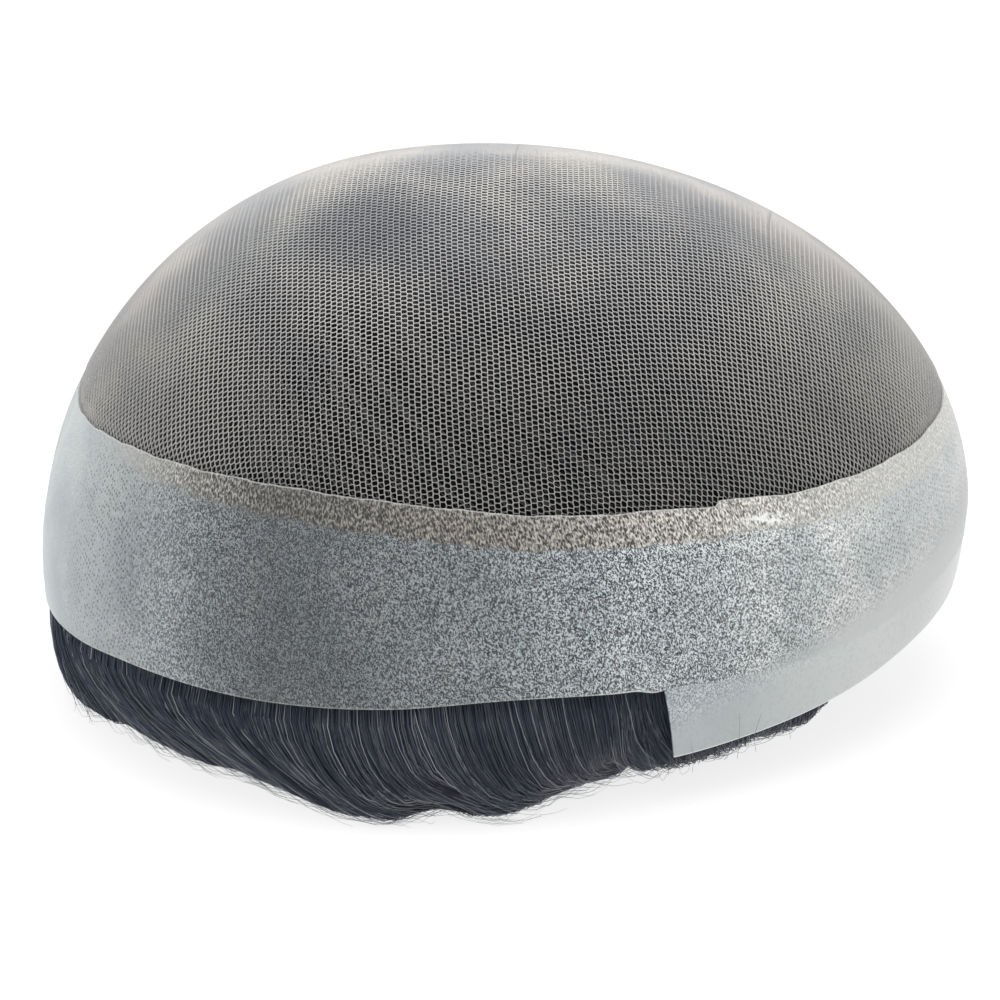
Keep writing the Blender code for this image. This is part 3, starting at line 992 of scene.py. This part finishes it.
def net_crown(finish):
    points, valid, right = net_points()
    columns, ranks = valid.shape
    threads = valid[:, :-1] & valid[:, 1:]
    bars = valid[:-1] & valid[1:] & right[:-1]
    in_use = np.nonzero(valid.sum(axis=1) > 8)[0]
    cut = np.linspace(in_use[0], in_use[-1] + 1, NET_PARTS + 1).round().astype(int)
    for part, (first, last) in enumerate(zip(cut, cut[1:])):
        mine = np.zeros((columns, 1), bool)
        mine[first:last] = True
        has_lower, has_upper = both_ends(threads & mine, 1)
        starts_bar, ends_bar = both_ends(bars & mine[:-1], 0)
        linked = has_lower | has_upper | starts_bar | ends_bar
        here = valid & mine & linked
        quads = net_faces(has_lower, THREAD_FACES, 1) + net_faces(starts_bar, BAR_FACES, ranks)
        triangles = []
        for mask, face in (
            (here, (BEFORE, AFTER, FAR)),
            (here & ~has_lower, (TOP, AFTER, FAR)),
            (here & ~has_upper, (TOP, FAR, BEFORE)),
            (here & ~(starts_bar | ends_bar), (TOP, BEFORE, AFTER)),
            (ends_bar & ~here, (TOP, BEFORE, AFTER)),
        ):
            triangles += net_faces(mask, (face,))
        quads, triangles = np.concatenate(quads), np.concatenate(triangles)
        used = np.unique(np.concatenate((quads.ravel(), triangles.ravel())))
        quads, triangles = np.searchsorted(used, quads), np.searchsorted(used, triangles)
        name = f"net_part_{part + 1}"
        piece = piece_from_arrays(name, points.reshape(-1, 3)[used], quads, triangles)
        face_outwards(piece)
        finish_piece(piece, finish, "lace_crown")
        float(here.sum() * NET_STEP * NET_PITCH)


# Hair


# Hairs and the mass stay this far off the floor
HAIR_FLOOR = 0.0003
MASS_FLOOR = 0.0004
# Rows down the rim's fine surface: to each line of its section, at the roots, the tips
# and where its inner side meets the lining
LINE_ROWS = 8
ROOT_ROW, TIP_ROW, LINING_ROW = 4.0, 56.0, 94
HAIR_CLUMPS, CLUMP_HAIRS = 120, 29
HAIR_RADIUS = 0.00009


def off_floor(places, height):
    places[..., 2] = np.maximum(places[..., 2], height)
    return places


def rim_surface():
    """The rim hair's surface on a fine grid: rows down its section, columns round it."""
    roots = np.arange(0, 360, 0.5)
    rows = np.array([rim_section(roots, row) for row in RIM_PROFILE])
    return smooth_rows(rows, LINE_ROWS)


def rim_form(surface, finish):
    """The mass of the rim hair, in its locks."""
    rows = surface[::2, ::2]
    count, columns = rows.shape[:2]
    middle = rows.mean(axis=0, keepdims=True)
    rows = off_floor(rows - unit(rows - middle) * 0.0007, MASS_FLOOR)
    faces = grid_faces(count, columns, True, True)
    piece = piece_from_arrays("rim_lock_form", rows.reshape(-1, 3), faces)
    add_uv(piece, "flow", *np.meshgrid(np.arange(columns) * 1.0, np.arange(count) / count * 80))
    face_outwards(piece)
    finish_piece(piece, finish, "rim_hair")


def crown_lining(root, share, depth, away=0.0):
    """Points in the dome's lining, share 0 at the whorl and 1 at the rim, and the ways out."""
    angle = root - CROWN_SWIRL * (1 - share)
    valley = LOCK_RELIEF * share * (1 - lock_wave(root / 360.0 * CROWN_LOCKS))
    inset = UNDER_LACE_INSET + depth * (CROWN_HAIR_DEPTH - valley) + away
    polar = polar_at(angle, band_foot_height(angle) + RIM_ROOT_RISE + PIECE_GAP) * share
    return inside_dome(angle, polar, inset), dome_normal(angle, polar)


def crown_form(finish):
    shares = np.linspace(0.02, 1, 40)
    root, share = np.meshgrid(np.arange(0, 360, 3.0), shares)
    outer = crown_lining(root, share, 0)[0]
    inner = crown_lining(root, share, 1)[0][::-1]
    rows = np.concatenate((outer, inner))
    count, columns = rows.shape[:2]
    poles = np.array([outer[0].mean(axis=0), inner[-1].mean(axis=0)])
    points = np.concatenate((rows.reshape(-1, 3), poles))
    column = np.arange(columns)
    beside = (column + 1) % columns
    base = (count - 1) * columns
    first = np.stack((np.full(columns, count * columns), column, beside), axis=1)
    last = np.stack((np.full(columns, count * columns + 1), base + beside, base + column), axis=1)
    piece = piece_from_arrays(
        "crown_lock_form", points, grid_faces(count, columns, False, True),
        np.concatenate((first, last)),
    )
    across, down = np.meshgrid(column * 3.0, np.concatenate((shares, shares[::-1])) * 110)
    add_uv(piece, "flow", np.append(across, (0, 0)), np.append(down, (0, 0)))
    face_outwards(piece)
    finish_piece(piece, finish, "crown_hair")


def look_up(surface, row, root):
    """Point of a surface at fractional rows and root angles in degrees."""
    rows, columns = surface.shape[:2]
    row = np.clip(row, 0, rows - 1.001)
    column = (root % 360.0) / 360.0 * columns
    low_row, low_column = np.floor(row).astype(int), np.floor(column).astype(int)
    row_share, column_share = (row - low_row)[..., None], (column - low_column)[..., None]
    low_column = low_column % columns
    next_column = (low_column + 1) % columns
    upper, lower = (
        surface[line, low_column] * (1 - column_share) + surface[line, next_column] * column_share
        for line in (low_row, low_row + 1)
    )
    return upper * (1 - row_share) + lower * row_share


def surface_normals(surface):
    """Outward directions of the rim's surface on its grid."""
    down = np.gradient(surface, axis=0)
    round_it = np.roll(surface, -1, axis=1) - np.roll(surface, 1, axis=1)
    normals = unit(np.cross(round_it, down))
    middle = surface.mean(axis=0, keepdims=True)
    return normals * np.sign((normals * (surface - middle)).sum(axis=-1).mean())


def on_mass(surface, row, root, stand, floor=HAIR_FLOOR):
    """Paths over the rim's mass, standing off it, and the directions out of it."""
    away = unit(look_up(surface_normals(surface), row, root))
    return off_floor(look_up(surface, row, root) + away * stand[..., None], floor), away


def rim_strands(surface, finish):
    """Hairs of the rim in clumps, on the mass and following its section."""
    rng = np.random.default_rng(23)
    total = HAIR_CLUMPS * CLUMP_HAIRS
    middles = np.arange(HAIR_CLUMPS) * 360.0 / HAIR_CLUMPS + rng.normal(0, 0.5, HAIR_CLUMPS)
    centre = np.repeat(middles, CLUMP_HAIRS)
    front = from_front(centre)
    spread = rng.uniform(-1, 1, total) * 2.7
    pinch = np.repeat(rng.uniform(0.0, 0.5, HAIR_CLUMPS), CLUMP_HAIRS)
    extra = np.repeat(rng.normal(2.2, 1.0, HAIR_CLUMPS), CLUMP_HAIRS) + rng.normal(0, 0.9, total)
    # Beside the strip the hair ends sooner and is swept further back
    reach = rng.uniform(0.98, 1.14, total) - 0.17 * (front < 84)
    layer = rng.uniform(0, 1, total) ** 1.5
    extra = extra + 12 * eased((front - 25) / 20) * (1 - eased((front - 70) / 12))
    share = np.linspace(0, 1, 12)[None, :]
    row = ROOT_ROW + share * (TIP_ROW * reach[:, None] - ROOT_ROW)
    root = centre[:, None] + spread[:, None] * (1 - pinch[:, None] * share**1.5)
    root = root - np.sin(np.radians(centre))[:, None] * extra[:, None] * share**3 * 1.5
    sway = rng.normal(0, 0.25, total)[:, None]
    root = root + sway * np.sin(share * 5 + rng.uniform(0, 6, total)[:, None])
    lift = -0.0004 + 0.0009 * layer[:, None] * np.sin(np.pi * np.clip(share * 1.15, 0, 1)) ** 0.7
    paths, away = on_mass(surface, row, root, lift)
    radii = (0.00007 + 0.00003 * rng.uniform(0, 1, total))[:, None] * (1 - 0.75 * share**3)
    # More of the hairs are pale in the middle of the side, and none there quite dark: painted
    # highlight where the hair catches the light; elsewhere the tones differ at random
    lit = np.exp(-(((front - 101) / 20) ** 2))
    shade = np.maximum(rng.uniform(0, 1, total) ** (10.0 - 7.0 * lit), 0.28 * lit)
    for name, mask in (("rim_strands_front", front < 90), ("rim_strands_back", front >= 90)):
        mine = (part[mask] for part in (paths, radii, shade, away))
        strands_piece(name, "rim_hair", finish, *mine)


def inner_rim_strands(surface, finish):
    """Hairs on the inner side of the rim, up to the lining."""
    rng = np.random.default_rng(37)
    count = 420
    centre = rng.uniform(0, 360, count)[:, None]
    share = np.linspace(0, 1, 9)[None, :]
    row = rng.uniform(47, 62, count)[:, None] * (1 - share) + LINING_ROW * share
    root = centre + rng.normal(0, 2.5, count)[:, None] * share
    paths, away = on_mass(surface, row, root, rng.uniform(-0.0005, 0.0003, count)[:, None])
    radii = HAIR_RADIUS * (1 - 0.5 * share**3) * np.ones((count, 1))
    shade = rng.uniform(0, 1, count) ** 3
    strands_piece("rim_strands_inner", "rim_hair", finish, paths, radii, shade, away)


# Stray hairs that cross the strip's foot: angle, height above that foot
STRAY_DROP = 0.003
STRAYS = ((-68.6, 0.0035), (-62.5, 0.0060), (-59.8, 0.0045), (-55.0, 0.0020))


def loose_hairs(surface, finish):
    """Fine hairs that stand off the mass, wisps at the temples and strays over the strip."""
    rng = np.random.default_rng(41)
    count = 640
    centre = rng.uniform(0, 360, count)
    wispy = np.exp(-(((from_front(centre) - 87) / 8) ** 2))
    share = np.linspace(0, 1, 12)[None, :]
    first, last = rng.uniform(18, 36, count)[:, None], rng.uniform(42, 53, count)[:, None]
    row = first + (last - first) * share
    extra = (rng.normal(2.5, 2.0, count) + 10 * wispy * rng.uniform(0, 1, count))[:, None]
    root = centre[:, None] - np.sin(np.radians(centre))[:, None] * extra * share**2
    stand = rng.uniform(0.0003, 0.0045, count)[:, None] * share**1.8
    paths, away = on_mass(surface, row, root, stand, MASS_FLOOR)
    for angle, above in STRAYS:
        turns = angle + 0.25 * np.sin(share[0] * 4 + angle)
        foot = strip_foot_height(turns)
        heights = foot - STRAY_DROP + (STRAY_DROP + above) * share[0]
        stray = inside_dome(turns, polar_at(turns, np.maximum(heights, foot)), -0.0003)
        stray[:, 2] = heights
        paths = np.concatenate((paths, stray[None]))
        away = np.concatenate((away, dome_normal(turns, polar_at(turns, heights))[None]))
    radii = np.full(paths.shape[:2], 0.00004) * (1 - 0.5 * share**2)
    shade = rng.uniform(0.3, 1, len(paths))
    strands_piece("loose_hairs", "rim_hair", finish, paths, radii, shade, away)


def crown_strands(name, depth, lift, count, finish):
    """Long hairs that lie along the lining, from its whorl to the rim."""
    rng = np.random.default_rng(31 + int(depth))
    along = np.linspace(0, 1, 12)[None, :]
    roots = rng.uniform(0, 360, count)[:, None]
    first = rng.uniform(0.03, 0.5, count)[:, None]
    share = first + (1 - first) * along
    root = roots + rng.normal(0, 3, count)[:, None] * share + 2.0 * np.sin(share * 7 + roots)
    away = rng.uniform(0.1, 1.0, count)[:, None] * lift
    paths, outwards = crown_lining(root, share, depth, away)
    radii = HAIR_RADIUS * (1 - 0.5 * along**3) * np.ones((count, 1))
    shade = rng.uniform(0, 1, count) ** 2
    strands_piece(name, "crown_hair", finish, paths, radii, shade, outwards)


# The set


def hang(held, place, aim):
    """Puts a lamp or a camera in its place, aimed along a direction."""
    holder = bpy.data.objects.new(held.name, held)
    bpy.context.scene.collection.objects.link(holder)
    holder.location = place
    holder.rotation_euler = aim.to_track_quat("-Z", "Y").to_euler()
    return holder


def studio():
    bpy.ops.object.select_all(action="DESELECT")
    bpy.ops.mesh.primitive_plane_add(size=6)
    floor = bpy.context.object
    floor.name = "floor"
    paint = Finish(
        "floor_paint", Roughness=0.9, Specular_IOR_Level=0.1, Emission_Color=(1, 1, 1, 1),
        Emission_Strength=0.80,
    )
    grain = paint.noise(paint.place(), 30.0)
    paint.set("Base Color", paint.mix(grain, (0.27, 0.27, 0.27), (0.29, 0.29, 0.29)))
    floor.data.materials.append(paint.material)
    world = bpy.data.worlds.new("studio")
    world.use_nodes = True
    background = world.node_tree.nodes["Background"].inputs
    background["Color"].default_value = (1, 1, 1, 1)
    background["Strength"].default_value = 0.86
    bpy.context.scene.world = world
    for name, place, power, size in (
        ("overhead", Vector((-0.3, 0.1, 1.3)), 8, 1.0),
        ("left", Vector((-0.7, 1.0, 0.5)), 0.5, 0.6),
    ):
        lamp = bpy.data.lights.new(name, "AREA")
        lamp.energy = power
        lamp.size = size
        hang(lamp, place, Vector((0, 0, 0.04)) - place)


def camera():
    """At the photo's angle: from the left side, a little behind, and 20 degrees up."""
    centre = Vector((0, SHIFT_BACK, CENTRE_HEIGHT))
    turn, rise, distance = math.radians(-98), math.radians(20), 0.85
    flat = math.cos(rise)
    back = Vector((math.sin(turn) * flat, -math.cos(turn) * flat, math.sin(rise)))
    lens = bpy.data.cameras.new("camera")
    lens.lens = 171.36
    lens.sensor_width = 36
    lens.shift_x = 0.0523
    lens.shift_y = 0.0397
    bpy.context.scene.camera = hang(lens, centre + back * distance, -back)


def main():
    camera()
    bpy.context.scene.view_settings.view_transform = "Standard"
    mass = hair_mass("hair_mass", (0.015, 0.020, 0.036), (0.042, 0.055, 0.084), 2.4, 0.08)
    # Painted shade: the lining under the net is a much darker copy of the hair's colour
    lining = hair_mass(
        "hair_lining", (0.001, 0.001, 0.0012), (0.005, 0.005, 0.006), 0.6, 0.05, 0.5, 0.1, 0.5
    )
    strand = hair_strands("hair_strand", (0.0205, 0.029, 0.055), (0.38, 0.39, 0.41), 0.45)
    # Painted shade: the hairs under the net are a much darker copy of the strands' colour
    under = hair_strands(
        "hair_under_net", (0.002, 0.0022, 0.003), (0.014, 0.015, 0.018), 0.6, 0.5, 0.5
    )
    surface = rim_surface()
    rim_form(surface, mass)
    crown_form(lining)
    rim_strands(surface, strand)
    inner_rim_strands(surface, strand)
    loose_hairs(surface, strand)
    crown_strands("crown_strands_outer", 0, -0.0006, 800, under)
    crown_strands("crown_strands_inner", 1, 0.0006, 560, strand)
    skin_band(knotted_film())
    front_strip(clear_film())
    net_crown(net_thread())
    studio()


main()
